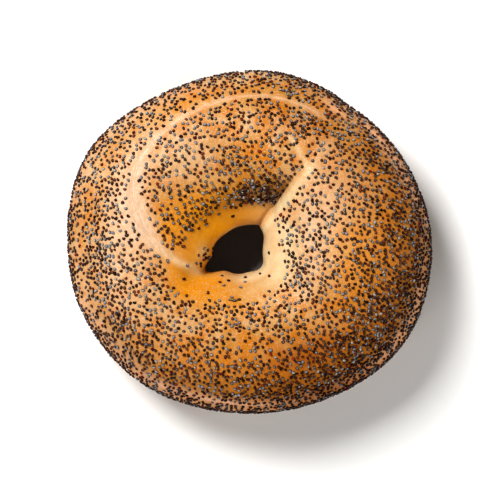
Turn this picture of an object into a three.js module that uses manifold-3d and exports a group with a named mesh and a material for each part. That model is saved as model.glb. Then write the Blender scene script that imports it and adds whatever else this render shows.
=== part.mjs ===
// A poppy seed bagel: one ring of dough, rolled by hand, lapped over its own end and baked.
// Millimetres, +Z up. The origin is on the surface that the bagel rests on, under its middle.
// Every place on the crust is given by two angles. Turn goes round the hole, anticlockwise
// from +X. Tilt goes round the dough's section: 0 at the outer flank, a quarter turn at the
// crown, a half turn on the wall of the hole, three quarters under the base.
import * as THREE from "three";
import { ParametricGeometry } from "three/addons/geometries/ParametricGeometry.js";
import { mergeVertices } from "three/addons/utils/BufferGeometryUtils.js";
import Module from "manifold-3d";

const { degToRad: rad, lerp, smoothstep } = THREE.MathUtils;
const { abs, atan2, cos, exp, hypot, max, PI, sign, sin, sqrt } = Math;

// Plan: a nearly round rim, with a small hole off its middle
const LONG_RADIUS = 56.3;
const SHORT_RADIUS = 52.5;
const LONG_AXIS_TURN = rad(-11);
const RIM_FROM_HOLE = new THREE.Vector2(3.06, 2.29);
const HOLE_FROM_ORIGIN = new THREE.Vector2(-3.5, -2.74);
const HOLE_RADIUS = 6.9;

// What the rim, the hole and the height gain at a turn: [turn, spread, gain]
const RIM_SWELLS = [
  [rad(77), rad(14), 1.3],
  [rad(110), rad(17), -0.8],
  [rad(145), rad(13), 0.6],
  [rad(178), rad(10), -0.4],
  [rad(208), rad(26), 0.8],
  [rad(288), rad(22), -0.6],
  [rad(333), rad(18), 1.2],
  [rad(18), rad(17), -0.8],
  [rad(53), rad(6), -0.5],
  [rad(60), rad(11), 0.5],
];
const HOLE_CORNERS = [
  [rad(40), rad(26), 1.8],
  [rad(122), rad(25), -0.9],
  [rad(175), rad(20), 0.7],
  [rad(210), rad(15), 4.4],
  [rad(230), rad(15), 0.2],
  [rad(325), rad(22), 1.6],
];
const HEIGHT = 38;
const HEIGHT_SWELLS = [
  [rad(15), rad(40), 0.8],
  [rad(100), rad(45), -1.8],
  [rad(250), rad(50), 0.4],
];

// Section of the dough
const FLANK_HEIGHT = 16.5; // of the widest place outside
const THROAT_HEIGHT = 20; // of the narrowest place in the hole
const TOP_FULLNESS = 2.15; // 2 is an ellipse, and more is squarer
const BASE_FULLNESS = 2.4;
const BASE_PRESSED = 1.12; // over 1, so that the base is cut off flat
const CROWN_SHIFT = 0.07; // share of the half width, outwards where the funnel is wide
const FUNNEL_TURN = rad(130);
const TUBE_RADIUS = 22; // turns a tilt into a length

// The lap seam climbs from the wall of the hole over the crown to the outer shoulder
const LAP_START = rad(214);
const LAP_LEVEL = rad(85); // from here on the seam keeps its tilt
const LAP_END = rad(53);
const LAP_START_TILT = rad(156);
const LAP_END_TILT = rad(53);
const LAP_MIDDLE_TILT = rad(104);
const LAP_POWER = 1.8;
const LAP_STEP = 0.55;
const LAP_LIP = 0.2;
const LAP_EDGE = 3.0;
const LAP_RELAX = 13;
const LAP_LEVEL_SHARE = 0.35; // of the step, where the seam keeps its tilt

// The crease, where the tucked end goes under the thicker end
const CREASE_DEPTH = 5.6;
const CREASE_SOFT_SIDE = 6;
const CREASE_STEEP_SIDE = 2.2;
const CREASE_FADE_TILT = rad(76);
const CREASE_FULL_TILT = rad(132);
const CREASE_THROAT_SHARE = 0.32; // of the depth that is left in the hole

// The pale stretched band low on the flank
const BAND_TILT = rad(25);
const BAND_WIDTH = rad(6);
const BAND_DEPTH = 0.4;

// Poppy seeds, and where they lie
const SEED_LENGTH = 1.25;
const SEED_WIDTH = 1.0;
const SEED_THICKNESS = 0.9;
const SEED_SINK = 0.12; // of the thickness, from the seed's middle
const SEED_COUNT = 320;
const SEED_SPACING = 4.1;
const SEED_TRIES = 60000;
const SEED_DROP = 2; // how far above the crust a seed starts
const BARE_BESIDE_SEAM = 2.6;
const BARE_THROAT_TILT = rad(140);
const SEEDED_DOWN_TO = rad(-35);

// Mesh
const TURN_STEPS = 76;
const TILT_STEPS = 34;
const BUNCHING = 0.5; // of the mesh lines, towards the crease and the lap seam

const wrapped = (angle) => atan2(sin(angle), cos(angle));
const full = (angle) => ((angle % (2 * PI)) + 2 * PI) % (2 * PI);
const swell = (turn, list) =>
  list.reduce((sum, [at, spread, gain]) => sum + gain * exp(-((wrapped(turn - at) / spread) ** 2)), 0);

// Distance from the hole's middle to the rim's tilted ellipse, along a turn
function ellipseReach(turn) {
  const centre = RIM_FROM_HOLE.clone().rotateAround(new THREE.Vector2(), -LONG_AXIS_TURN);
  const along = new THREE.Vector2(cos(turn - LONG_AXIS_TURN), sin(turn - LONG_AXIS_TURN));
  const a = (along.x / LONG_RADIUS) ** 2 + (along.y / SHORT_RADIUS) ** 2;
  const b = (along.x * centre.x) / LONG_RADIUS ** 2 + (along.y * centre.y) / SHORT_RADIUS ** 2;
  const c = (centre.x / LONG_RADIUS) ** 2 + (centre.y / SHORT_RADIUS) ** 2 - 1;
  return (b + sqrt(b * b - a * c)) / a;
}

const rimReach = (turn) => ellipseReach(turn) + swell(turn, RIM_SWELLS);
const holeReach = (turn) => HOLE_RADIUS + swell(turn, HOLE_CORNERS);

// The dough's section without its seam: reach from the hole's middle, and height
function section(turn, tilt) {
  const inner = holeReach(turn);
  const outer = rimReach(turn);
  const half = (outer - inner) / 2;
  const c = cos(tilt);
  const s = sin(tilt);
  const widest = lerp(FLANK_HEIGHT, THROAT_HEIGHT, (1 - c) / 2);
  const power = 2 / (s > 0 ? TOP_FULLNESS : BASE_FULLNESS);
  const across = sign(c) * abs(c) ** power;
  const up = abs(s) ** power;
  if (s <= 0) return { reach: inner + half * (1 + across), height: max(0, widest * (1 - BASE_PRESSED * up)) };
  const top = HEIGHT + swell(turn, HEIGHT_SWELLS);
  const shift = CROWN_SHIFT * cos(turn - FUNNEL_TURN) * up * up;
  return { reach: inner + half * (1 + across + shift), height: widest + (top - widest) * up };
}

// Tilt of the lap seam at a turn. Past its two ends the line runs on, so that it closes.
function lapTilt(turn) {
  const at = full(turn - LAP_END) + LAP_END;
  if (at <= LAP_LEVEL) return LAP_END_TILT;
  if (at <= LAP_START) {
    const share = (at - LAP_LEVEL) / (LAP_START - LAP_LEVEL);
    return lerp(LAP_END_TILT, LAP_START_TILT, share ** LAP_POWER);
  }
  return lerp(LAP_START_TILT, LAP_END_TILT, smoothstep(at, LAP_START, LAP_END + 2 * PI));
}

// Signed distance from the lap seam, over the crust: below 0 on the tucked end
function besideLap(turn, tilt) {
  const step = rad(1);
  const slope = (lapTilt(turn + step) - lapTilt(turn - step)) / (2 * step);
  const run = TUBE_RADIUS / section(turn, tilt).reach;
  return (wrapped(lapTilt(turn) - tilt) * TUBE_RADIUS) / hypot(1, slope * run);
}

function lapPresence(turn) {
  const at = full(turn - LAP_END) + LAP_END;
  return smoothstep(at, LAP_END, rad(64)) * (1 - smoothstep(at, rad(208), rad(224)));
}

function lapRelief(turn, tilt) {
  const beside = besideLap(turn, tilt);
  const low = beside < 0 ? exp(beside / LAP_RELAX) : 1 - smoothstep(beside, 0, LAP_EDGE);
  const lip = exp(-(((beside - LAP_EDGE * 1.3) / LAP_EDGE) ** 2));
  const raised = lerp(LAP_LEVEL_SHARE, 1, smoothstep(full(turn), LAP_LEVEL, LAP_START));
  return lapPresence(turn) * raised * (LAP_LIP * lip - LAP_STEP * low);
}

function creasePresence(tilt) {
  const over = smoothstep(tilt, CREASE_FADE_TILT, CREASE_FULL_TILT);
  const down = lerp(1, CREASE_THROAT_SHARE, smoothstep(tilt, rad(138), rad(172)));
  const under = 1 - smoothstep(tilt, rad(195), rad(262));
  return over * down * under;
}

function creaseRelief(turn, tilt) {
  const beside = wrapped(turn - LAP_END) * section(turn, tilt).reach;
  const width = beside > 0 ? CREASE_SOFT_SIDE : CREASE_STEEP_SIDE;
  return -CREASE_DEPTH * creasePresence(tilt) * exp(-abs(beside) / width);
}

function bandRelief(turn, tilt) {
  const round = full(LAP_END - turn);
  const presence = smoothstep(round, 0, rad(12)) * (1 - smoothstep(round, rad(170), rad(200)));
  return -BAND_DEPTH * presence * exp(-((wrapped(tilt - BAND_TILT) / BAND_WIDTH) ** 2));
}

// Slow unevenness of hand rolled dough, less of it in the narrow hole
function lumps(turn, tilt) {
  const long = 0.35 * sin(3 * turn + 1.1) * cos(tilt - 0.6);
  const slanted = 0.25 * sin(5 * turn + 2 * tilt);
  const short = 0.2 * cos(8 * turn - 1.7) * sin(2 * tilt + 0.4);
  return (0.6 + 0.4 * cos(tilt)) * (long + slanted + short);
}

// A place on the crust
function crustPoint(turn, tilt, target) {
  const { reach, height } = section(turn, tilt);
  const flat = smoothstep(height, 0, 3);
  const relief =
    flat * (lapRelief(turn, tilt) + creaseRelief(turn, tilt) + bandRelief(turn, tilt) + lumps(turn, tilt));
  const out = reach + relief * cos(tilt);
  return target.set(
    HOLE_FROM_ORIGIN.x + out * cos(turn),
    HOLE_FROM_ORIGIN.y + out * sin(turn),
    max(0, height + relief * sin(tilt)),
  );
}

function crustNormal(turn, tilt) {
  const step = rad(0.5);
  const [east, west, north, south] = [
    [turn + step, tilt],
    [turn - step, tilt],
    [turn, tilt + step],
    [turn, tilt - step],
  ].map(([a, b]) => crustPoint(a, b, new THREE.Vector3()));
  return east.sub(west).cross(north.sub(south)).normalize();
}

// The crust as one closed mesh. Its lines bunch at the crease and at the lap seam, which one
// of them follows, and lie level under the base.
function crustGeometry() {
  const surface = (u, v, target) => {
    const round = 2 * PI * u;
    const turn = LAP_END + round - BUNCHING * sin(round);
    const over = 2 * PI * v;
    const follow = ((lapTilt(turn) - LAP_MIDDLE_TILT) * (1 + cos(over))) / 2;
    crustPoint(turn, full(LAP_MIDDLE_TILT + follow + over - BUNCHING * sin(over)), target);
  };
  return new ParametricGeometry(surface, TURN_STEPS, TILT_STEPS);
}

// How thickly the seeds lie at a place, from 0 to 1
function seedCover(turn, tilt) {
  const low = wrapped(tilt) < SEEDED_DOWN_TO || abs(wrapped(tilt)) > BARE_THROAT_TILT;
  const onLap = lapPresence(turn) > 0.3 && abs(besideLap(turn, tilt)) < BARE_BESIDE_SEAM;
  const creased = creasePresence(tilt) > 0.02;
  const onCrease = creased && abs(wrapped(turn - LAP_END)) * section(turn, tilt).reach < BARE_BESIDE_SEAM;
  return low || onLap || onCrease ? 0 : 0.55 + 0.45 * cos(turn - rad(318)) * cos(tilt);
}

// A repeatable run of numbers from 0 to 1
function randomRun(seed) {
  let state = seed;
  return () => {
    state = (state * 1664525 + 1013904223) % 4294967296;
    return state / 4294967296;
  };
}

// Seeds spread evenly, more of them where they lie thickest
function seedPlaces() {
  const random = randomRun(20417);
  const places = [];
  for (let tries = 0; tries < SEED_TRIES && places.length < SEED_COUNT; tries++) {
    const turn = 2 * PI * random();
    const tilt = lerp(SEEDED_DOWN_TO, BARE_THROAT_TILT, random());
    const spin = PI * random();
    const cover = seedCover(turn, tilt);
    const areaShare = section(turn, tilt).reach / (LONG_RADIUS + HOLE_RADIUS);
    if (random() > cover * areaShare) continue;
    const point = crustPoint(turn, tilt, new THREE.Vector3());
    const spacing = SEED_SPACING * (1.35 - 0.5 * cover);
    if (places.some((other) => other.point.distanceTo(point) < spacing)) continue;
    places.push({ point, normal: crustNormal(turn, tilt), spin });
  }
  return places;
}

// A seed's place brought down, or up, to the face of the meshed crust that it lies on
function settled({ point, normal, spin }, meshed) {
  const above = point.clone().addScaledVector(normal, SEED_DROP);
  const [hit] = new THREE.Raycaster(above, normal.clone().negate()).intersectObject(meshed);
  return { point: hit.point, normal: hit.face.normal, spin };
}

function seedGeometry({ point, normal, spin }) {
  const standing = new THREE.Quaternion().setFromUnitVectors(new THREE.Vector3(0, 0, 1), normal);
  const turned = new THREE.Quaternion().setFromAxisAngle(new THREE.Vector3(0, 0, 1), spin);
  const middle = point.clone().addScaledVector(normal, SEED_THICKNESS * SEED_SINK);
  return new THREE.OctahedronGeometry(0.5, 0)
    .scale(SEED_LENGTH, SEED_WIDTH, SEED_THICKNESS)
    .applyQuaternion(standing.multiply(turned))
    .translate(middle.x, middle.y, middle.z);
}

const wasm = await Module();
wasm.setup();

function solidOf(geometry) {
  geometry.deleteAttribute("normal");
  geometry.deleteAttribute("uv");
  const merged = mergeVertices(geometry, 1e-4);
  const mesh = { numProp: 3, vertProperties: merged.attributes.position.array, triVerts: merged.index.array };
  mesh.triVerts = new Uint32Array(mesh.triVerts);
  return new wasm.Manifold(new wasm.Mesh(mesh));
}

function geometryOf(solid) {
  const { vertProperties, triVerts } = solid.getMesh();
  const geometry = new THREE.BufferGeometry();
  geometry.setAttribute("position", new THREE.BufferAttribute(vertProperties, 3));
  geometry.setIndex(new THREE.BufferAttribute(triVerts, 1));
  geometry.computeVertexNormals();
  return geometry;
}

const crustMaterial = new THREE.MeshStandardMaterial({ color: 0xdf9a4c, roughness: 0.45, metalness: 0 });
const crust = new THREE.Mesh(crustGeometry(), crustMaterial);
const seeds = seedPlaces().map((place) => solidOf(seedGeometry(settled(place, crust))));
const baked = seeds.reduce((whole, seed) => whole.add(seed), solidOf(crust.geometry));

const bagel = new THREE.Mesh(geometryOf(baked), crustMaterial);
bagel.name = "bagel";

const group = new THREE.Group();
group.add(bagel);
export default group;
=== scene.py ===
import math

import bpy
import numpy as np
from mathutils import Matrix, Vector, noise


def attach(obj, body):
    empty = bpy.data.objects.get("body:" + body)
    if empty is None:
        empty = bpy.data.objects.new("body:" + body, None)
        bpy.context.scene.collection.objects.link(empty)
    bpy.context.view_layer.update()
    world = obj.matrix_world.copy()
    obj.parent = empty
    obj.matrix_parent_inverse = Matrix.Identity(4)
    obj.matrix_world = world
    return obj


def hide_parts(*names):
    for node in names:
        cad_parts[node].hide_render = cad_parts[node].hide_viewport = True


# Looks of a poppy seed bagel. Shapes are worked out in millimetres, in the frame of the packed
# model: +Z up, the origin on the surface that the bagel rests on, under its middle. Every place
# on the crust is given by two angles. Turn goes round the hole, anticlockwise from +X. Tilt goes
# round the dough's section: 0 at the outer flank, 90 degrees at the crown, 180 on the wall of
# the hole and 270 under the base. The functions take both in radians. The lists of places, and
# the calls of near, level and past, give them in degrees.
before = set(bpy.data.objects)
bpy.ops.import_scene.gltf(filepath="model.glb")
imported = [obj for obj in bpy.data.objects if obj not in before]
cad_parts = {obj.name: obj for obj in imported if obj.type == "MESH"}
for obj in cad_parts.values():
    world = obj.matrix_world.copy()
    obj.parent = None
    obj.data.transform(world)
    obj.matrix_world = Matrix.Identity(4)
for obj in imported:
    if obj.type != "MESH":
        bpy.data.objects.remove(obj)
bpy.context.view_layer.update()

MM = 0.001
rad = math.radians

# Plan: a nearly round rim, with a small hole off its middle
LONG_RADIUS = 56.3
SHORT_RADIUS = 52.5
LONG_AXIS_TURN = rad(-11)
RIM_FROM_HOLE = (3.06, 2.29)
HOLE_FROM_ORIGIN = (-3.5, -2.74)
HOLE_RADIUS = 6.9

# What the rim, the hole and the height gain at a turn: (turn, spread, gain)
RIM_SWELLS = [
    (77, 14, 1.3),
    (110, 17, -0.8),
    (145, 13, 0.6),
    (178, 10, -0.4),
    (208, 26, 0.8),
    (288, 22, -0.6),
    (333, 18, 1.2),
    (18, 17, -0.8),
    (53, 6, -0.5),
    (60, 11, 0.5),
]
HOLE_CORNERS = [
    (40, 26, 1.8),
    (122, 25, -0.9),
    (175, 20, 0.7),
    (210, 15, 4.4),
    (230, 15, 0.2),
    (325, 22, 1.6),
]
HEIGHT = 38
HEIGHT_SWELLS = [
    (15, 40, 0.8),
    (100, 45, -1.8),
    (250, 50, 0.4),
]

# Section of the dough
FLANK_HEIGHT = 16.5  # of the widest place outside
THROAT_HEIGHT = 20  # of the narrowest place in the hole
TOP_FULLNESS = 2.15  # 2 is an ellipse, and more is squarer
BASE_FULLNESS = 2.4
BASE_PRESSED = 1.12  # over 1, so that the base is cut off flat
CROWN_SHIFT = 0.07  # share of the half width, outwards where the funnel is wide
FUNNEL_TURN = rad(130)
TUBE_RADIUS = 22  # turns a tilt into a length

# The lap seam climbs from the wall of the hole over the crown to the outer shoulder
LAP_START = rad(214)
LAP_LEVEL = rad(85)  # from here on the seam keeps its tilt
LAP_END = rad(53)
LAP_START_TILT = rad(156)
LAP_END_TILT = rad(53)
LAP_POWER = 1.8
LAP_STEP = 0.55
LAP_LIP = 0.2
LAP_EDGE = 3.0
LAP_RELAX = 13
LAP_LEVEL_SHARE = 0.35  # of the step, where the seam keeps its tilt

# The crease, where the tucked end goes under the thicker end
CREASE_DEPTH = 5.6
CREASE_SOFT_SIDE = 6
CREASE_STEEP_SIDE = 2.2
CREASE_FADE_TILT = rad(76)
CREASE_FULL_TILT = rad(132)
CREASE_THROAT_SHARE = 0.32  # of the depth that is left in the hole

# The pale stretched band low on the flank
BAND_TILT = rad(25)
BAND_WIDTH = rad(6)
BAND_DEPTH = 0.4
BAND_WANDER = [(262, 26, rad(7)), (335, 30, rad(-3))]  # of its colour: (turn, spread, gain)
BAND_COLOUR_WIDTH = 1.3 * BAND_WIDTH
BAND_BARE_WIDTH = 1.15 * BAND_WIDTH

# Fine relief of the skin, which the solid leaves out
CLEFT_DEPTH = 0.9  # of the sharp line at the crease's foot
CLEFT_WIDTH = 0.5
BRANCH_DEPTH = 0.35  # of the short line that leaves the crease on the crown
BRANCH_WIDTH = 1.0
BRANCH_FOOT_TILT = rad(90)
BRANCH_LEAN = -1.35  # how its turn follows its tilt
RIDGE_HEIGHT = 0.35  # of the seam's lip where it runs into the hole
RIDGE_WIDTH = 1.4
RIDGE_OFF_SEAM = 0.6
RIDGE_INWARD = 1.3  # how far it leaves the seam there, towards the hole
PUCKER_DEPTH = 0.22
PUCKER_COUNT = 26  # in a full turn
BLISTER_HEIGHT = 0.1
BLISTER_SIZE = 1.6
BASE_CALM = 3  # up to this height the relief fades towards the flat base
SMOOTH_SHARE = 0.35  # of the roughness that is left on the bare crust round the hole

# Crust mesh
TURN_STEPS = 400
TILT_STEPS = 240
TOP_BUNCHING = 0.35  # of the mesh lines, towards the crown

# Pale and toasted places of the crust, partly painted light and painted shade: (turn, spread,
# tilt, spread, strength)
# Partly pale skin, partly painted light on the upper left and low on the flank
PALE_AND_PAINTED_LIGHT_PATCHES = [
    (14, 28, 108, 22, 0.8),
    (34, 18, 84, 26, 0.5),
    (122, 20, 90, 13, 0.6),
    (190, 30, 73, 20, 0.75),
    (134, 32, 28, 15, 0.5),
    (212, 24, 32, 16, 0.9),
    (335, 16, 105, 12, 0.3),
    (50, 3.5, 71, 9, 0.6),
]
ORANGE_PATCHES = [
    (165, 28, 119, 17, 0.8),
    (0, 18, 84, 18, 0.5),
    (116, 18, 49, 12, 0.4),
]
# Partly toasted skin, partly painted shade at the lower right, where the shoulder turns from the
# key light and seeds lie thick
TOASTED_AND_PAINTED_SHADE_PATCHES = [
    (302, 17, 71, 13, 1.0),
    (302, 17, 28, 12, 0.7),
    (302, 20, 6, 14, 0.8),
    (64, 14, 68, 12, 0.35),
    (88, 24, 136, 8, 0.3),
]
LIT_PATCHES = [
    (183, 16, 152, 10, 0.5),
    (32, 15, 144, 14, 0.35),
]
GLOW_PATCHES = [
    (66, 16, 152, 14, 0.25),
    (128, 30, 160, 16, 0.35),
    (204, 8, 145, 8, 0.8),
]

# The stretched skin of the lap seam, and the pale skin beside it
SEAM_SHIFT = 0.6  # of its middle off the seam, where it is widest
SEAM_NARROWEST = 0.9
SEAM_WIDEST = 2.5
PALE_ON_THICK_END = 9
PALE_ON_TUCKED_END = 3.5

# Painted shade in the crease on its tucked side, and the pale edge on its thick side
CREASE_SHADE_REACH = 15
CREASE_EDGE = 2  # from the crease's foot
CREASE_EDGE_NEAR = 1.4  # its width towards the foot
CREASE_EDGE_FAR = 2.2  # its width away from the foot

# Patterns of the crust's skin, by the size of their lumps
SEAM_REACH = 30  # width of the strip beside the lap seam that its fibres may use
SEAM_LENGTH = 220
FIBRE_LENGTH = 4
FIBRE_WIDTH = 0.45
BROAD_SIZE = 16
BLOTCH_SIZE = 5.5
UNEVEN_SIZE = 4
# Painted glints: pale specks that stand in for sparkles of light on the crust
GLINT_SIZE = 0.45
GLOSS_SIZE = 2.5
GRAIN_SIZE = 0.6
GRAIN_HEIGHT = 0.14
BULGE_SIZE = 3.2
BULGE_HEIGHT = 0.4
LIGHT_DEPTH = 1.5  # how far light goes into the crust

# Poppy seeds
SEED_LENGTH = 1.09
SEED_WIDTH = 0.92
SEED_THICKNESS = 0.8
SEED_SIDES = 7
SEED_RINGS = 5
SEED_DENT = 0.16  # in its flatter side
SEED_BEND = 0.1  # of its two ends
SEED_CENTRING = 0.03  # moves the bent seed back to its middle
SEED_SIZE_SPREAD = 0.08
SEED_SHAPE_SPREAD = 0.05
SEED_ROCKING = 0.2  # off lying flat on the crust
SEED_LOWEST_STAND = 0.1  # of its middle over the crust, as a share of its thickness
SEED_HIGHEST_STAND = 0.3
SEED_NET_SIZE = 0.22  # of the cells on its skin
SEED_NET_HEIGHT = 0.05
SEED_DRAW = 7301
SEED_TRIES = 170000
SEED_LOWEST_TILT = rad(-42)
SEED_CLOSEST = 0.84  # from middle to middle, where they lie thick
SEED_LOOSER = 1.18  # times that where they lie thin
SEED_TIGHTER = 0.9  # times that where they lie thickest
SEED_CELL = 1.2  # wider than the widest spacing
SEED_CHANCE = 0.5  # scales the draws to the cover that is asked for
SEED_STRAYS = 0.008  # cover by lone seeds on the bare crust
SEED_PATCH_SIZE = 6.5  # of the lumps in their patchy noise
SEED_MOST_COVER = 0.97
BARE_SEAM_NARROWEST = 1.1  # half the strip without seeds
BARE_SEAM_WIDEST = 2.0
BARE_CREASE = 1.5  # from its foot to the middle of the strip without seeds

# Seeds that lie thicker or thinner than around them: (turn, spread, tilt, spread, gain)
SEED_PATCHES = [
    (292, 20, 102, 18, -0.3),
    (272, 20, 80, 11, -0.55),
    (288, 24, 60, 9, -0.35),
    (12, 16, 122, 11, -0.5),
    (90, 20, 106, 8, 0.5),
    (342, 10, 117, 7, 0.8),
    (350, 18, 78, 18, 0.3),
    (160, 34, 103, 10, -0.5),
    (190, 36, 67, 13, 1.4),
    (200, 30, 41, 11, -0.5),
    (62, 12, 68, 10, 0.8),
    (65, 6, 94, 11, 0.9),
    (78, 30, 20, 14, 0.4),
    (55, 4.5, 79, 8, -0.8),
    (50, 3, 69, 7, -0.6),
]

# How bare the pale band is, and what that gains at a turn: (turn, spread, gain)
BAND_BARENESS = 0.85
BAND_BARENESS_SWELLS = [
    (262, 22, 0.12),
    (326, 26, -0.45),
    (18, 14, -0.6),
]

# Past this tilt, towards the hole, hardly any seeds lie: (turn, spread, gain)
BARE_TILT = rad(137)
BARE_TILT_SWELLS = [
    (300, 42, rad(-11)),
    (222, 34, rad(-20)),
    (192, 15, rad(-18)),
    (162, 11, rad(-7)),
    (138, 9, rad(5)),
    (108, 16, rad(-4)),
]

# Camera and floor
PHOTO_SIZE = 500
PIXELS_PER_MM = 3.224  # at the rim of the bagel
HOLE_IN_PHOTO = (238.8, 251.2)
SENSOR_WIDTH = 36
LENS = 150
FLOOR_SIZE = 3.0  # metres

# Softboxes that face the bagel: name, turn, height angle, distance and size in metres, watts
SOFTBOXES = [
    ("key", rad(130), rad(50), 1.2, 0.45, 13.6),
    ("right_fill", rad(342), rad(42), 1.4, 0.8, 4.6),
    ("left_fill", rad(240), rad(42), 1.4, 0.8, 5.2),
]
STUDIO_LIGHT = 0.09


def lerp(a, b, share):
    return a + (b - a) * share


def smoothstep(x, low, high):
    share = np.clip((x - low) / (high - low), 0, 1)
    return share * share * (3 - 2 * share)


def wrapped(angle):
    return np.arctan2(np.sin(angle), np.cos(angle))


def full(angle):
    return np.mod(angle, 2 * math.pi)


def bump(x, spread):
    return np.exp(-((x / spread) ** 2))


def near(angle, at, spread):
    """1 where the angle is at so many degrees, fading over the spread on both sides."""
    return bump(wrapped(angle - rad(at)), rad(spread))


def level(tilt, at, spread):
    """The same for a tilt, but without running on round the base."""
    return bump(tilt - rad(at), rad(spread))


def past(angle, low, high):
    """0 up to low degrees and 1 from high degrees on."""
    return smoothstep(angle, rad(low), rad(high))


def swell(turn, places):
    return sum(gain * near(turn, at, spread) for at, spread, gain in places)


def patches(turn, tilt, places):
    return sum(strength * near(turn, at, spread) * level(tilt, over, breadth)
               for at, spread, over, breadth, strength in places)


# Shape of the dough
def ellipse_reach(turn):
    """Distance from the hole's middle to the rim's tilted ellipse."""
    c, s = math.cos(LONG_AXIS_TURN), math.sin(LONG_AXIS_TURN)
    along = RIM_FROM_HOLE[0] * c + RIM_FROM_HOLE[1] * s
    across = RIM_FROM_HOLE[1] * c - RIM_FROM_HOLE[0] * s
    x, y = np.cos(turn - LONG_AXIS_TURN), np.sin(turn - LONG_AXIS_TURN)
    a = (x / LONG_RADIUS) ** 2 + (y / SHORT_RADIUS) ** 2
    b = x * along / LONG_RADIUS**2 + y * across / SHORT_RADIUS**2
    d = (along / LONG_RADIUS) ** 2 + (across / SHORT_RADIUS) ** 2 - 1
    return (b + np.sqrt(b * b - a * d)) / a


def rim_reach(turn):
    return ellipse_reach(turn) + swell(turn, RIM_SWELLS)


def hole_reach(turn):
    return HOLE_RADIUS + swell(turn, HOLE_CORNERS)


def section(turn, tilt):
    """The dough's section without its seam: reach from the hole's middle, and height."""
    inner, outer = hole_reach(turn), rim_reach(turn)
    half = (outer - inner) / 2
    c, s = np.cos(tilt), np.sin(tilt)
    widest = lerp(FLANK_HEIGHT, THROAT_HEIGHT, (1 - c) / 2)
    power = np.where(s > 0, 2 / TOP_FULLNESS, 2 / BASE_FULLNESS)
    across = np.sign(c) * np.abs(c) ** power
    up = np.abs(s) ** power
    shift = np.where(s > 0, CROWN_SHIFT * np.cos(turn - FUNNEL_TURN) * up * up, 0)
    top = HEIGHT + swell(turn, HEIGHT_SWELLS)
    base = np.maximum(0, widest * (1 - BASE_PRESSED * up))
    return inner + half * (1 + across + shift), np.where(s > 0, widest + (top - widest) * up, base)


def lap_tilt(turn):
    """Tilt of the lap seam. Past its two ends the line runs on, so that it closes."""
    at = full(turn - LAP_END) + LAP_END
    share = np.clip((at - LAP_LEVEL) / (LAP_START - LAP_LEVEL), 0, 1)
    climb = lerp(LAP_END_TILT, LAP_START_TILT, share**LAP_POWER)
    back = lerp(LAP_START_TILT, LAP_END_TILT, smoothstep(at, LAP_START, LAP_END + 2 * math.pi))
    return np.where(at <= LAP_START, climb, back)


def beside_lap(turn, tilt):
    """Signed distance from the lap seam, over the crust: below 0 on the tucked end."""
    step = rad(1)
    slope = (lap_tilt(turn + step) - lap_tilt(turn - step)) / (2 * step)
    run = TUBE_RADIUS / section(turn, tilt)[0]
    return wrapped(lap_tilt(turn) - tilt) * TUBE_RADIUS / np.hypot(1, slope * run)


def lap_presence(turn):
    at = full(turn - LAP_END) + LAP_END
    return smoothstep(at, LAP_END, rad(64)) * (1 - past(at, 208, 224))


def lap_relief(turn, tilt):
    beside = beside_lap(turn, tilt)
    tucked = np.exp(np.minimum(beside, 0) / LAP_RELAX)
    low = np.where(beside < 0, tucked, 1 - smoothstep(beside, 0, LAP_EDGE))
    lip = bump(beside - LAP_EDGE * 1.3, LAP_EDGE)
    raised = lerp(LAP_LEVEL_SHARE, 1, smoothstep(full(turn), LAP_LEVEL, LAP_START))
    return lap_presence(turn) * raised * (LAP_LIP * lip - LAP_STEP * low)


def crease_presence(tilt):
    over = smoothstep(tilt, CREASE_FADE_TILT, CREASE_FULL_TILT)
    down = lerp(1, CREASE_THROAT_SHARE, past(tilt, 138, 172))
    return over * down * (1 - past(tilt, 195, 262))


def beside_crease(turn, tilt):
    """Signed distance from the crease, over the crust: above 0 on the tucked end."""
    return wrapped(turn - LAP_END) * section(turn, tilt)[0]


def crease_relief(turn, tilt):
    beside = beside_crease(turn, tilt)
    width = np.where(beside > 0, CREASE_SOFT_SIDE, CREASE_STEEP_SIDE)
    return -CREASE_DEPTH * crease_presence(full(tilt)) * np.exp(-np.abs(beside) / width)


def band_presence(turn):
    """1 along the stretched band, which runs clockwise from the lap seam's end."""
    round_from_lap = full(LAP_END - turn)
    return past(round_from_lap, 0, 12) * (1 - past(round_from_lap, 170, 200))


def band_line(turn):
    """Tilt of the middle of the band's colour, which wanders a little off its hollow."""
    return BAND_TILT + swell(turn, BAND_WANDER)


def band_relief(turn, tilt):
    return -BAND_DEPTH * band_presence(turn) * bump(wrapped(tilt - BAND_TILT), BAND_WIDTH)


def lumps(turn, tilt):
    """Slow unevenness of hand rolled dough, less of it in the narrow hole."""
    long = 0.35 * np.sin(3 * turn + 1.1) * np.cos(tilt - 0.6)
    slanted = 0.25 * np.sin(5 * turn + 2 * tilt)
    short = 0.2 * np.cos(8 * turn - 1.7) * np.sin(2 * tilt + 0.4)
    return (0.6 + 0.4 * np.cos(tilt)) * (long + slanted + short)


# Fine relief
def cleft_relief(turn, tilt):
    along = past(tilt, 104, 120) * (1 - past(tilt, 168, 180))
    return -CLEFT_DEPTH * along * bump(beside_crease(turn, tilt), CLEFT_WIDTH)


def branch_line(turn, tilt):
    """1 along the short line that leaves the crease on the crown, and 0 beside it."""
    line = LAP_END + BRANCH_LEAN * (tilt - BRANCH_FOOT_TILT)
    reach = section(turn, tilt)[0]
    beside = wrapped(turn - line) * reach / np.hypot(1, BRANCH_LEAN * reach / TUBE_RADIUS)
    along = past(tilt, 75, 81) * (1 - past(tilt, 87, 93))
    return along * bump(beside, BRANCH_WIDTH)


def ridge_line(turn, tilt):
    """1 along the thin ridge that the seam's lip makes near the hole, and 0 beside it."""
    along = past(turn, 160, 184) * (1 - past(turn, 208, 216))
    inward = RIDGE_INWARD * past(turn, 182, 204)
    return along * bump(beside_lap(turn, tilt) - RIDGE_OFF_SEAM + inward, RIDGE_WIDTH)


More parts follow.
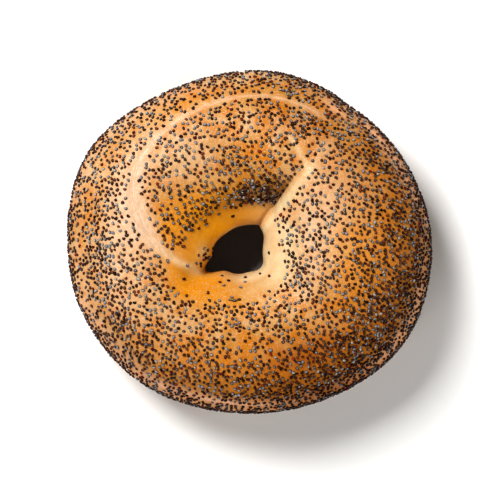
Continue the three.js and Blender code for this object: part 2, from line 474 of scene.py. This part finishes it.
def pucker_lines(turn, tilt):
    """Lines that fan out from the hole, on the side across from the crease: 1 along each."""
    fan = near(turn, 270, 48) * near(tilt, 96, 24)
    uneven = 0.6 + 0.4 * np.sin(11 * turn + 2)
    wave = np.sin(PUCKER_COUNT * turn + 1.2 * np.sin(3 * tilt)) * uneven
    return fan * np.maximum(0, wave)


def fine_relief(turn, tilt):
    cuts = cleft_relief(turn, tilt) - BRANCH_DEPTH * branch_line(turn, tilt)
    cuts = cuts - PUCKER_DEPTH * pucker_lines(turn, tilt)
    return cuts + RIDGE_HEIGHT * ridge_line(turn, tilt)


def crust_points(turn, tilt):
    """Places on the crust, in millimetres, as rows of x, y and z."""
    reach, height = section(turn, tilt)
    flat = smoothstep(height, 0, BASE_CALM)
    folds = lap_relief(turn, tilt) + crease_relief(turn, tilt) + band_relief(turn, tilt)
    relief = flat * (folds + fine_relief(turn, tilt) + lumps(turn, tilt))
    out = reach + relief * np.cos(tilt)
    x = HOLE_FROM_ORIGIN[0] + out * np.cos(turn)
    y = HOLE_FROM_ORIGIN[1] + out * np.sin(turn)
    return np.stack([x, y, np.maximum(0, height + relief * np.sin(tilt))], axis=-1)


def crust_normals(turn, tilt):
    step = rad(0.4)
    along = crust_points(turn + step, tilt) - crust_points(turn - step, tilt)
    over = crust_points(turn, tilt + step) - crust_points(turn, tilt - step)
    normal = np.cross(along, over)
    return normal / np.linalg.norm(normal, axis=-1, keepdims=True)


def noise_at(points, size, octaves=2):
    """Smooth noise of about -1 to 1 at rows of points, its lumps about size across."""
    return np.array([noise.fractal(Vector(p), 0.8, 2.1, octaves) for p in points / size])


def notch(turn, tilt):
    """1 on the bare patch where the lap seam runs out at the rim."""
    return 0.85 * near(turn, 56, 4.5) * level(tilt, 37, 5.5)


def bare_tilt(turn):
    """Past this tilt, towards the hole, hardly any seeds lie."""
    return BARE_TILT + swell(turn, BARE_TILT_SWELLS)


# Tones of the crust, each from 0 to 1, for tilts between -180 and 180 degrees
def seam_tone(turn, tilt):
    """Stretched skin along the lap seam, widest on the left of the hole."""
    wide = near(turn, 165, 28)
    strength = lap_presence(turn) * lerp(0.6, 1, wide)
    width = lerp(SEAM_NARROWEST, SEAM_WIDEST, wide)
    line = bump(beside_lap(turn, tilt) - SEAM_SHIFT * wide, width)
    return strength * line * (1 - past(turn, 166, 198))


def cream_tone(turn, tilt):
    """Cream skin on the right of the hole, along the crease's edge and on its branch."""
    beside_hole = near(turn, 354, 62) * past(np.abs(tilt), 112, 136)
    from_edge = beside_crease(turn, tilt) + CREASE_EDGE
    width = np.where(from_edge > 0, CREASE_EDGE_NEAR, CREASE_EDGE_FAR)
    edge = past(tilt, 62, 124) * bump(from_edge, width * lerp(0.6, 1, past(tilt, 78, 112)))
    return np.maximum(beside_hole, edge) + 0.7 * branch_line(turn, tilt)


def lip_and_painted_light_tone(turn, tilt):
    """Pale skin on the lip of the hole, partly painted light where its wall turns down into shade,
    with a painted highlight on the ridge that runs into it and painted light in the lit patches.
    """
    lip = past(np.abs(tilt), 142, 156) * (0.65 * near(turn, 296, 56))
    far_lip = 0.35 * near(turn, 112, 50) * past(np.abs(tilt), 160, 174)
    lip = np.maximum(lip, 0.62 * ridge_line(turn, tilt))
    return lip + far_lip + patches(turn, tilt, LIT_PATCHES)


def painted_crease_shade_tone(turn, tilt):
    """Painted shade down in the crease, on the tucked end: browner where the fold is shadowed."""
    beside = beside_crease(turn, tilt)
    over_hole = past(tilt, 98, 118) * (1 - past(tilt, 134, 148))
    return over_hole * smoothstep(beside, -0.6, 0.4) * bump(np.maximum(beside, 0), CREASE_SHADE_REACH)


def amber_tone(turn, tilt):
    """Thin amber skin over the hole's upper left wall, up to the crease."""
    on_tucked_end = smoothstep(wrapped(turn - LAP_END), 0, rad(6))
    return near(turn, 128, 76) * on_tucked_end * past(np.abs(tilt), 100, 126)


def glow_tone(turn, tilt):
    """Warm light on the hole's left lip."""
    lip = past(np.abs(tilt), 128, 152) * near(turn, 156, 62)
    return lip + patches(turn, tilt, GLOW_PATCHES)


def pale_and_painted_light_tone(turn, tilt):
    """Pale skin on both sides of the lap seam, and patches that are partly pale skin and partly
    painted light: lighter on the upper left, towards the key light, and low on the steep flank
    against its shade.
    """
    beside = beside_lap(turn, tilt)
    reach = np.where(beside > 0, PALE_ON_THICK_END, PALE_ON_TUCKED_END)
    strip = 0.9 * near(turn, 164, 36) * bump(beside / reach, 1)
    return strip + patches(turn, tilt, PALE_AND_PAINTED_LIGHT_PATCHES)


def orange_tone(turn, tilt):
    """Orange skin below the hole, and in patches."""
    below_hole = near(turn, 224, 72) * past(np.abs(tilt), 100, 124)
    return below_hole + patches(turn, tilt, ORANGE_PATCHES)


def browned_and_painted_shade_tone(turn, tilt):
    """Well baked skin on the shoulder at the lower right, partly painted shade: darker on the side
    turned away from the key light.
    """
    shoulder = past(tilt, -26, 12) * (1 - past(tilt, 62, 108))
    return (0.5 + 0.5 * np.cos(turn - rad(315))) ** 1.5 * shoulder


def flank_and_painted_light_tone(turn, tilt):
    """Golden skin low on the flank, on the side below the hole, partly painted light that lightens
    the steep flank against its shade.
    """
    side = smoothstep(np.cos(turn - rad(268)), 0, 0.5) * (1 - 0.85 * near(turn, 302, 18))
    return side * (1 - past(tilt, 20, 46))


def rosy_tone(turn, tilt):
    """Rosy skin on the stretched band and on the notch where the seam runs out."""
    strength = band_presence(turn) * (1 - 0.95 * near(turn, 300, 22))
    strength = strength * (1 - 0.9 * near(turn, 2, 15))
    band = strength * bump(tilt - band_line(turn), BAND_COLOUR_WIDTH)
    return np.maximum(band, notch(turn, tilt))


def hidden_tone(tilt, low, high):
    """1 from the hole's wall round the base to low degrees on the flank, and 0 from high on."""
    return 1 - past(tilt, low, high) + past(tilt, 178, 180)


def tone_masks(turn, tilt):
    """Where the crust is pale, browned and so on, with painted light and painted shade among them,
    each from 0 to 1.
    """
    tilt = wrapped(tilt)
    amber = amber_tone(turn, tilt)
    browned_and_painted_shade = browned_and_painted_shade_tone(turn, tilt)
    toasted_and_painted_shade = patches(turn, tilt, TOASTED_AND_PAINTED_SHADE_PATCHES)
    return {
        "along": full(turn) / (2 * math.pi),
        "beside": 0.5 + beside_lap(turn, tilt) / SEAM_REACH,
        "seam": seam_tone(turn, tilt),
        "streaks": pucker_lines(turn, tilt),
        "cream": cream_tone(turn, tilt),
        "lip": lip_and_painted_light_tone(turn, tilt),
        "painted_crease_shade": painted_crease_shade_tone(turn, tilt),
        "amber": amber,
        "glow": glow_tone(turn, tilt),
        "pale_and_painted_light": pale_and_painted_light_tone(turn, tilt),
        "toasted_and_painted_shade": toasted_and_painted_shade,
        # Painted glints, fewer on the amber and browned skin
        "painted_glints": 1 - 0.9 * np.maximum(amber, np.maximum(toasted_and_painted_shade, browned_and_painted_shade)),
        "orange": orange_tone(turn, tilt),
        "browned_and_painted_shade": browned_and_painted_shade,
        "flank_and_painted_light": flank_and_painted_light_tone(turn, tilt),
        "rosy": rosy_tone(turn, tilt),
        "under": hidden_tone(tilt, -62, -22),
        # Painted shade on the hole's lower wall
        "painted_throat_shade": hidden_tone(tilt, -150, -116),
        "smooth": smoothstep(tilt, bare_tilt(turn) - rad(8), bare_tilt(turn) + rad(8)),
    }


# Meshes
def smooth_mesh(name, points, faces, attributes):
    """A smooth mesh from places in millimetres, with named values from 0 to 1 at its points."""
    mesh = bpy.data.meshes.new(name)
    mesh.from_pydata((points * MM).tolist(), [], faces)
    for label, values in attributes.items():
        attribute = mesh.attributes.new(label, "FLOAT", "POINT")
        attribute.data.foreach_set("value", np.clip(values, 0, 1).astype(np.float32).ravel())
    mesh.polygons.foreach_set("use_smooth", np.ones(len(mesh.polygons), dtype=bool))
    mesh.update()
    return mesh


def ring_mesh(name, points, masks):
    """A mesh closed both ways round, from a grid of points: [turn step, tilt step, xyz]."""
    columns, rows = points.shape[:2]
    i, j = np.meshgrid(np.arange(columns), np.arange(rows), indexing="ij")
    i_next, j_next = (i + 1) % columns, (j + 1) % rows
    corners = [i * rows + j, i_next * rows + j, i_next * rows + j_next, i * rows + j_next]
    faces = np.stack(corners, axis=-1).reshape(-1, 4)
    return smooth_mesh(name, points.reshape(-1, 3), faces.tolist(), masks)


def crust_mesh():
    turn = np.arange(TURN_STEPS) / TURN_STEPS * 2 * math.pi
    over = np.arange(TILT_STEPS) / TILT_STEPS * 2 * math.pi
    tilt = over - TOP_BUNCHING * np.sin(over - rad(90))
    turn, tilt = np.meshgrid(turn, tilt, indexing="ij")
    points = crust_points(turn, tilt)
    blisters = noise_at(points.reshape(-1, 3), BLISTER_SIZE).reshape(turn.shape)
    masks = tone_masks(turn, tilt)
    rough = lerp(1, SMOOTH_SHARE, masks["smooth"]) * smoothstep(points[..., 2], 0.3, BASE_CALM)
    raised = (BLISTER_HEIGHT * blisters * rough)[..., None]
    return ring_mesh("crust", points + crust_normals(turn, tilt) * raised, masks)


# Where the seeds lie
def open_cover(turn, tilt, patch):
    """Cover away from the folds: thickest on the right flank, and hardly any by the hole."""
    side = (0.5 + 0.5 * np.cos(turn - rad(318))) ** 2
    outward = 1 - past(tilt, 38, 100)
    cover = 0.3 + 0.07 * side + (0.5 * side - 0.06) * outward
    cover = cover * lerp(0.8, 1, past(tilt, 26, 62)) * (1 + 0.45 * patch)
    cover = cover * (1 + patches(turn, tilt, SEED_PATCHES))
    edge = bare_tilt(turn) + patch * rad(6)
    return cover * (1 - smoothstep(tilt, edge - rad(6), edge + rad(4)))


def pocket_cover(turn, tilt):
    """Seeds heaped in the pocket beside the crease."""
    beside = wrapped(turn - rad(72))
    heap = bump(beside, rad(27)) * bump(tilt - rad(130) + 0.22 * beside, rad(11))
    return 0.95 * heap * (1 - past(tilt, 136, 146))


def off_seam(turn, tilt):
    """0 on the stretched skin of the lap seam, and 1 beside it."""
    wide = near(turn, 168, 26)
    half = lerp(BARE_SEAM_NARROWEST, BARE_SEAM_WIDEST, wide)
    beside = beside_lap(turn, tilt) - SEAM_SHIFT * wide
    off = smoothstep(np.abs(beside), half - 0.5, half + 0.7)
    return lerp(1, off, lap_presence(turn) > 0.3)


def off_crease(turn, tilt):
    """0 on the edge of the crease, and 1 beside it."""
    off = smoothstep(np.abs(beside_crease(turn, tilt) + BARE_CREASE), 1.1, 2.3)
    return lerp(1, off, smoothstep(crease_presence(full(tilt)), 0.02, 0.2))


def bare_band(turn, tilt, patch):
    """How bare the stretched band is, from 0 to 1."""
    bareness = np.clip(BAND_BARENESS + swell(turn, BAND_BARENESS_SWELLS) - 0.5 * patch, 0, 1)
    return bareness * band_presence(turn) * bump(tilt - band_line(turn), BAND_BARE_WIDTH)


def seed_cover(turn, tilt, patch):
    """Share of the crust that seeds hide, from 0 to 1, at places with a patchy noise there."""
    cover = open_cover(turn, tilt, patch) + pocket_cover(turn, tilt)
    cover = cover * off_seam(turn, tilt) * off_crease(turn, tilt)
    cover = cover * (1 - 0.9 * branch_line(turn, tilt))
    cover = cover * (1 - np.maximum(bare_band(turn, tilt, patch), notch(turn, tilt)))
    beak = 0.5 * near(turn, 189, 11) * level(tilt, 163, 11)
    strays = SEED_STRAYS * (tilt < rad(160))
    low = smoothstep(tilt, SEED_LOWEST_TILT, rad(-10))
    return np.clip((cover + strays) * low + beak, 0, SEED_MOST_COVER)


class Cells:
    """Places kept apart from each other, looked up by the cell that they lie in."""

    def __init__(self, size):
        self.size = size
        self.places = {}

    def cell(self, point):
        return tuple(int(math.floor(v / self.size)) for v in point)

    def crowded(self, point, spacing):
        x, y, z = self.cell(point)
        for i in (x - 1, x, x + 1):
            for j in (y - 1, y, y + 1):
                for k in (z - 1, z, z + 1):
                    for other in self.places.get((i, j, k), ()):
                        if math.dist(other, point) < spacing:
                            return True
        return False

    def add(self, point):
        self.places.setdefault(self.cell(point), []).append(point)


def seed_places(random):
    """Turn and tilt of every seed: as many as the cover asks for, none on top of another."""
    turn = random.uniform(0, 2 * math.pi, SEED_TRIES)
    tilt = random.uniform(SEED_LOWEST_TILT, rad(178), SEED_TRIES)
    points = crust_points(turn, tilt)
    cover = seed_cover(turn, tilt, noise_at(points, SEED_PATCH_SIZE))
    area_share = section(turn, tilt)[0] / (LONG_RADIUS + HOLE_RADIUS)
    wanted = random.uniform(0, 1, SEED_TRIES) < area_share
    spacing = SEED_CLOSEST * lerp(SEED_LOOSER, 1, smoothstep(cover, 0.35, 0.8))
    spacing = spacing * lerp(1, SEED_TIGHTER, smoothstep(cover, 0.8, 0.95))
    chance = -np.log(1 - cover) * SEED_CHANCE
    wanted &= random.uniform(0, 1, SEED_TRIES) < chance
    cells = Cells(SEED_CELL)
    kept = []
    for index in np.flatnonzero(wanted):
        point = tuple(points[index])
        if not cells.crowded(point, spacing[index]):
            cells.add(point)
            kept.append(index)
    return turn[kept], tilt[kept], points[kept]


# The seeds themselves
def seed_shape():
    """One seed of unit size, lying along X: a bean with a flatter, dented side."""
    around = np.arange(SEED_SIDES) / SEED_SIDES * 2 * math.pi
    rings = [np.array([[-0.5, 0, 0]])]
    for ring in range(1, SEED_RINGS):
        along = math.pi * ring / SEED_RINGS
        radius = 0.5 * math.sin(along) ** 0.8
        x = np.full(SEED_SIDES, -0.5 * math.cos(along))
        y = radius * np.cos(around)
        z = radius * np.sin(around)
        rings.append(np.stack([x, y, z], axis=-1))
    rings.append(np.array([[0.5, 0, 0]]))
    shape = np.concatenate(rings)
    dent = SEED_DENT * bump(shape[:, 0], 0.2) * smoothstep(-shape[:, 1], 0, 0.4)
    shape[:, 1] += dent - SEED_BEND * (shape[:, 0] * 2) ** 2 + SEED_CENTRING
    return shape


def seed_faces():
    """Triangles and quads of one seed, as loops over the points of seed_shape."""
    faces = []
    last = 1 + (SEED_RINGS - 1) * SEED_SIDES
    for side in range(SEED_SIDES):
        next_side = (side + 1) % SEED_SIDES
        faces.append((0, 1 + next_side, 1 + side))
        for ring in range(SEED_RINGS - 2):
            here, there = 1 + ring * SEED_SIDES, 1 + (ring + 1) * SEED_SIDES
            faces.append((here + side, here + next_side, there + next_side, there + side))
        end = last - SEED_SIDES
        faces.append((last, end + side, end + next_side))
    return faces


def seed_frames(normals, random):
    """Three axes for each seed: lying on the crust, turned any way and rocked a little."""
    count = len(normals)
    rocked = normals + random.normal(0, SEED_ROCKING, (count, 3))
    up = rocked / np.linalg.norm(rocked, axis=-1, keepdims=True)
    any_way = random.normal(0, 1, (count, 3))
    across = np.cross(up, any_way)
    across /= np.linalg.norm(across, axis=-1, keepdims=True)
    return across, np.cross(up, across), up


def seeds_mesh(name, points, normals, random):
    """All seeds of one kind as one mesh, with a tone from 0 to 1 for each seed."""
    count = len(points)
    shape, faces = seed_shape(), seed_faces()
    along, across, up = seed_frames(normals, random)
    size = random.normal(1, SEED_SIZE_SPREAD, (count, 1, 1)).clip(0.8, 1.2)
    usual = np.array([SEED_LENGTH, SEED_WIDTH, SEED_THICKNESS])
    scale = usual * random.normal(1, SEED_SHAPE_SPREAD, (count, 3))
    local = shape[None] * scale[:, None] * size
    stand = random.uniform(SEED_LOWEST_STAND, SEED_HIGHEST_STAND, (count, 1)) * SEED_THICKNESS
    placed = (
        local[..., :1] * along[:, None]
        + local[..., 1:2] * across[:, None]
        + local[..., 2:] * up[:, None]
        + (points + normals * stand)[:, None]
    )
    starts = (np.arange(count) * len(shape)).tolist()
    all_faces = [[start + corner for corner in face] for start in starts for face in faces]
    attributes = {
        "tone": np.repeat(random.uniform(0, 1, count), len(shape)),
        # How far up each seed a point lies; the shader lightens the top with it, partly as painted
        # light
        "height": np.tile(shape[:, 2] + 0.5, count),
    }
    return smooth_mesh(name, placed.reshape(-1, 3), all_faces, attributes)


# Materials
def linear(red, green, blue):
    """A colour given as 0 to 255 in sRGB, as Blender's linear values with alpha."""
    values = [v / 255 for v in (red, green, blue)]
    return [v / 12.92 if v <= 0.04045 else ((v + 0.055) / 1.055) ** 2.4 for v in values] + [1]


class Shader:
    """A node material with short calls for the nodes that it needs."""

    def __init__(self, name):
        self.material = bpy.data.materials.new(name)
        self.material.use_nodes = True
        self.nodes = self.material.node_tree.nodes
        self.links = self.material.node_tree.links
        self.surface = self.nodes["Principled BSDF"]
        self.place = self.nodes.new("ShaderNodeNewGeometry").outputs["Position"]

    def put(self, value, socket):
        if isinstance(value, bpy.types.NodeSocket):
            self.links.new(value, socket)
        else:
            socket.default_value = value

    def set(self, name, value):
        """Gives one of the surface's own inputs a value or a pattern."""
        self.put(value, self.surface.inputs[name])

    def noise(self, size, detail=2.0, roughness=0.5):
        """Noise whose lumps are about size millimetres across."""
        node = self.nodes.new("ShaderNodeTexNoise")
        self.put(self.place, node.inputs["Vector"])
        self.put(1 / (size * MM), node.inputs["Scale"])
        self.put(detail, node.inputs["Detail"])
        self.put(roughness, node.inputs["Roughness"])
        return node.outputs["Fac"]

    def fibres(self, length, width):
        """Noise drawn out along the lap seam, in fibres of about length by width millimetres."""
        along = self.times(self.attribute("along"), SEAM_LENGTH / length)
        beside = self.times(self.attribute("beside"), SEAM_REACH / width)
        place = self.nodes.new("ShaderNodeCombineXYZ")
        self.put(along, place.inputs["X"])
        self.put(beside, place.inputs["Y"])
        node = self.nodes.new("ShaderNodeTexNoise")
        self.put(place.outputs["Vector"], node.inputs["Vector"])
        self.put(1.0, node.inputs["Scale"])
        return node.outputs["Fac"]

    def net(self, size):
        """Cells of about size millimetres: 0 in the middle of each, and more towards its edge."""
        node = self.nodes.new("ShaderNodeTexVoronoi")
        self.put(self.place, node.inputs["Vector"])
        self.put(1 / (size * MM), node.inputs["Scale"])
        return node.outputs["Distance"]

    def attribute(self, name):
        node = self.nodes.new("ShaderNodeAttribute")
        node.attribute_name = name
        return node.outputs["Fac"]

    def ramp(self, value, low, high, to_low=0.0, to_high=1.0):
        """value from low to high, turned into to_low to to_high."""
        node = self.nodes.new("ShaderNodeMapRange")
        node.interpolation_type = "SMOOTHSTEP"
        self.put(value, node.inputs["Value"])
        self.put(low, node.inputs["From Min"])
        self.put(high, node.inputs["From Max"])
        self.put(to_low, node.inputs["To Min"])
        self.put(to_high, node.inputs["To Max"])
        return node.outputs["Result"]

    def maths(self, operation, a, b):
        node = self.nodes.new("ShaderNodeMath")
        node.operation = operation
        self.put(a, node.inputs[0])
        self.put(b, node.inputs[1])
        return node.outputs[0]

    def times(self, a, b):
        return self.maths("MULTIPLY", a, b)

    def plus(self, a, b):
        return self.maths("ADD", a, b)

    def mix(self, share, a, b):
        node = self.nodes.new("ShaderNodeMix")
        node.data_type = "RGBA"
        self.put(share, node.inputs["Factor"])
        self.put(a, node.inputs["A"])
        self.put(b, node.inputs["B"])
        return node.outputs["Result"]

    def raise_by(self, height, distance, before=None):
        """A bump that is distance millimetres high, on top of the bump before it."""
        node = self.nodes.new("ShaderNodeBump")
        self.put(distance * MM, node.inputs["Distance"])
        self.put(height, node.inputs["Height"])
        if before is not None:
            self.put(before, node.inputs["Normal"])
        return node.outputs["Normal"]


GOLD = linear(184, 130, 54)
LIGHT_GOLD = linear(196, 156, 108)
ORANGE = linear(188, 118, 10)
CREAM = linear(211, 191, 152)
FIBRE_CREAM = linear(234, 203, 172)
# Painted glints: the colour of specks of light on the crust
PAINTED_GLINT_CREAM = linear(214, 190, 172)
UNDER_TAN = linear(176, 116, 60)
UNDER_BROWN = linear(140, 84, 36)
# Painted shade: the hole's wall below its narrowest place is darkened, so that less light bounces
# into the hole
PAINTED_THROAT_SHADE = linear(78, 46, 24)
FLOOR_WHITE = linear(234, 233, 231)

# The crust's tones, in the order in which they cover each other
TONES = [
    # Pale skin, partly painted light
    ("pale_and_painted_light", linear(210, 177, 144)),
    # Browned skin, partly painted shade on the side away from the key light
    ("browned_and_painted_shade", linear(186, 118, 26)),
    ("orange", linear(206, 136, 8)),
    ("amber", linear(212, 142, 2)),
    # Painted shade in the crease
    ("painted_crease_shade", linear(152, 104, 28)),
    ("glow", linear(234, 168, 22)),
    ("cream", CREAM),
    # Pale lip of the hole, partly painted light, with painted highlights on its ridge and lit
    # patches
    ("lip", linear(230, 208, 172)),
    # Golden skin low on the flank, partly painted light
    ("flank_and_painted_light", linear(222, 158, 96)),
    ("rosy", linear(238, 180, 136)),
    # Toasted skin, partly painted shade
    ("toasted_and_painted_shade", linear(160, 92, 12)),
    ("seam", linear(205, 171, 141)),
]

# Kinds of seed: name, share of all seeds, colour of the husk and of its bloom, roughness. The
# bloom on the top is partly a painted highlight, and the dark husk on the sides partly painted
# shade.
SEED_KINDS = [
    ("slate_seeds", 0.37, linear(52, 17, 4), linear(132, 134, 138), 0.36),
    ("grey_seeds", 0.14, linear(60, 27, 10), linear(160, 156, 150), 0.4),
    ("black_seeds", 0.26, linear(30, 7, 2), linear(72, 52, 44), 0.32),
    ("brown_seeds", 0.21, linear(52, 11, 1), linear(112, 64, 42), 0.34),
    ("rust_seeds", 0.02, linear(78, 18, 2), linear(132, 54, 26), 0.4),
]


def crust_colour(shader):
    blotch = shader.noise(BLOTCH_SIZE, 3)
    colour = shader.mix(shader.ramp(shader.noise(BROAD_SIZE, 3), 0.36, 0.64), GOLD, LIGHT_GOLD)
    colour = shader.mix(shader.ramp(blotch, 0.42, 0.63, 0, 0.92), colour, ORANGE)
    uneven = shader.ramp(shader.noise(UNEVEN_SIZE, 3), 0.32, 0.6, 0.78, 1.0)
    for label, tone in TONES:
        colour = shader.mix(shader.times(shader.attribute(label), uneven), colour, tone)
    colour = shader.mix(shader.times(shader.attribute("streaks"), 0.25), colour, CREAM)
    fibres = shader.ramp(shader.fibres(FIBRE_LENGTH, FIBRE_WIDTH), 0.48, 0.68, 0, 0.7)
    colour = shader.mix(shader.times(fibres, shader.attribute("seam")), colour, FIBRE_CREAM)
    # Painted glints: fine pale specks that stand in for sparkles of light
    glints = shader.ramp(shader.noise(GLINT_SIZE, 2, 0.6), 0.51, 0.68, 0, 0.46)
    colour = shader.mix(shader.times(glints, shader.attribute("painted_glints")), colour, PAINTED_GLINT_CREAM)
    baked_under = shader.mix(shader.ramp(blotch, 0.35, 0.65), UNDER_TAN, UNDER_BROWN)
    colour = shader.mix(shader.attribute("under"), colour, baked_under)
    # Painted shade on the hole's lower wall
    return shader.mix(shader.attribute("painted_throat_shade"), colour, PAINTED_THROAT_SHADE)


def crust_material():
    shader = Shader("baked_crust")
    shader.set("Base Color", crust_colour(shader))
    gloss = shader.ramp(shader.noise(GLOSS_SIZE, 3), 0.35, 0.7, 0.3, 0.46)
    shader.set("Roughness", shader.plus(gloss, shader.times(shader.attribute("under"), 0.35)))
    rough = shader.ramp(shader.attribute("smooth"), 0, 1, 1, SMOOTH_SHARE)
    grain = shader.times(shader.noise(GRAIN_SIZE, 3, 0.65), rough)
    bulges = shader.times(shader.noise(BULGE_SIZE, 2), rough)
    fine = shader.raise_by(grain, GRAIN_HEIGHT)
    shader.set("Normal", shader.raise_by(bulges, BULGE_HEIGHT, fine))
    shader.set("Specular IOR Level", 0.28)
    shader.set("Subsurface Weight", 0.1)
    shader.set("Subsurface Radius", (1.0, 0.5, 0.25))
    shader.set("Subsurface Scale", LIGHT_DEPTH * MM)
    return shader.material


def seed_material(name, husk_and_side_shade, bloom_and_top_light, roughness):
    """Poppy seed skin: a dark husk, with a dusty bloom on the side that looks out of the crust.
    The light top is partly a painted highlight and the dark sides partly painted shade.
    """
    shader = Shader(name)
    net = shader.net(SEED_NET_SIZE)
    tone = shader.ramp(shader.attribute("tone"), 0, 1, -0.25, 0.15)
    height = shader.plus(shader.attribute("height"), tone)
    colour = shader.mix(shader.ramp(height, 0.66, 0.97), husk_and_side_shade, bloom_and_top_light)
    colour = shader.mix(shader.ramp(net, 0.1, 0.5, 0, 0.12), colour, bloom_and_top_light)
    shader.set("Base Color", colour)
    shader.set("Roughness", shader.ramp(net, 0.1, 0.5, roughness, roughness + 0.15))
    shader.set("Normal", shader.raise_by(net, SEED_NET_HEIGHT))
    shader.set("Specular IOR Level", 0.24)
    return shader.material


# Pieces
def add_piece(name, mesh, material):
    piece = bpy.data.objects.new(name, mesh)
    bpy.context.collection.objects.link(piece)
    mesh.materials.append(material)
    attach(piece, "root")
    return piece


def add_seeds():
    random = np.random.default_rng(SEED_DRAW)
    turn, tilt, points = seed_places(random)
    normals = crust_normals(turn, tilt)
    kind_draw = random.uniform(0, 1, len(points))
    low = 0.0
    for name, share, husk_and_side_shade, bloom_and_top_light, roughness in SEED_KINDS:
        chosen = (kind_draw >= low) & (kind_draw < low + share)
        low += share
        mesh = seeds_mesh(name, points[chosen], normals[chosen], random)
        add_piece(name, mesh, seed_material(name, husk_and_side_shade, bloom_and_top_light, roughness))


# Floor, light and camera
def add_floor():
    mesh = bpy.data.meshes.new("floor")
    half = FLOOR_SIZE / 2
    corners = [(-half, -half, 0), (half, -half, 0), (half, half, 0), (-half, half, 0)]
    mesh.from_pydata(corners, [], [(0, 1, 2, 3)])
    floor = bpy.data.objects.new("floor", mesh)
    bpy.context.collection.objects.link(floor)
    shader = Shader("white_floor")
    shader.set("Base Color", FLOOR_WHITE)
    shader.set("Roughness", 0.85)
    mesh.materials.append(shader.material)


def add_softbox(name, turn, height, distance, size, power):
    """A square light that faces the bagel from a turn and a height angle."""
    light = bpy.data.lights.new(name, "AREA")
    light.size = size
    light.energy = power
    lamp = bpy.data.objects.new(name, light)
    across = distance * math.cos(height)
    lamp.location = (across * math.cos(turn), across * math.sin(turn), distance * math.sin(height))
    lamp.rotation_euler = Vector(lamp.location).to_track_quat("Z", "Y").to_euler()
    bpy.context.collection.objects.link(lamp)


def add_lights():
    for softbox in SOFTBOXES:
        add_softbox(*softbox)
    world = bpy.data.worlds.new("studio")
    world.use_nodes = True
    background = world.node_tree.nodes["Background"]
    background.inputs["Color"].default_value = (1, 1, 1, 1)
    background.inputs["Strength"].default_value = STUDIO_LIGHT
    bpy.context.scene.world = world
    bpy.context.scene.view_settings.view_transform = "Standard"
    bpy.context.scene.view_settings.look = "High Contrast"


def add_camera():
    """Looks straight down, with the hole where the photograph has it."""
    right = (PHOTO_SIZE / 2 - HOLE_IN_PHOTO[0]) / PIXELS_PER_MM
    down = (PHOTO_SIZE / 2 - HOLE_IN_PHOTO[1]) / PIXELS_PER_MM
    distance = PHOTO_SIZE / SENSOR_WIDTH * LENS / PIXELS_PER_MM
    camera = bpy.data.objects.new("camera", bpy.data.cameras.new("camera"))
    camera.data.lens = LENS
    camera.data.sensor_width = SENSOR_WIDTH
    camera.location = (
        (HOLE_FROM_ORIGIN[0] + right) * MM,
        (HOLE_FROM_ORIGIN[1] - down) * MM,
        (FLANK_HEIGHT + distance) * MM,
    )
    bpy.context.collection.objects.link(camera)
    bpy.context.scene.camera = camera


crust = add_piece("crust", crust_mesh(), crust_material())
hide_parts("bagel")
add_seeds()
add_floor()
add_lights()
add_camera()
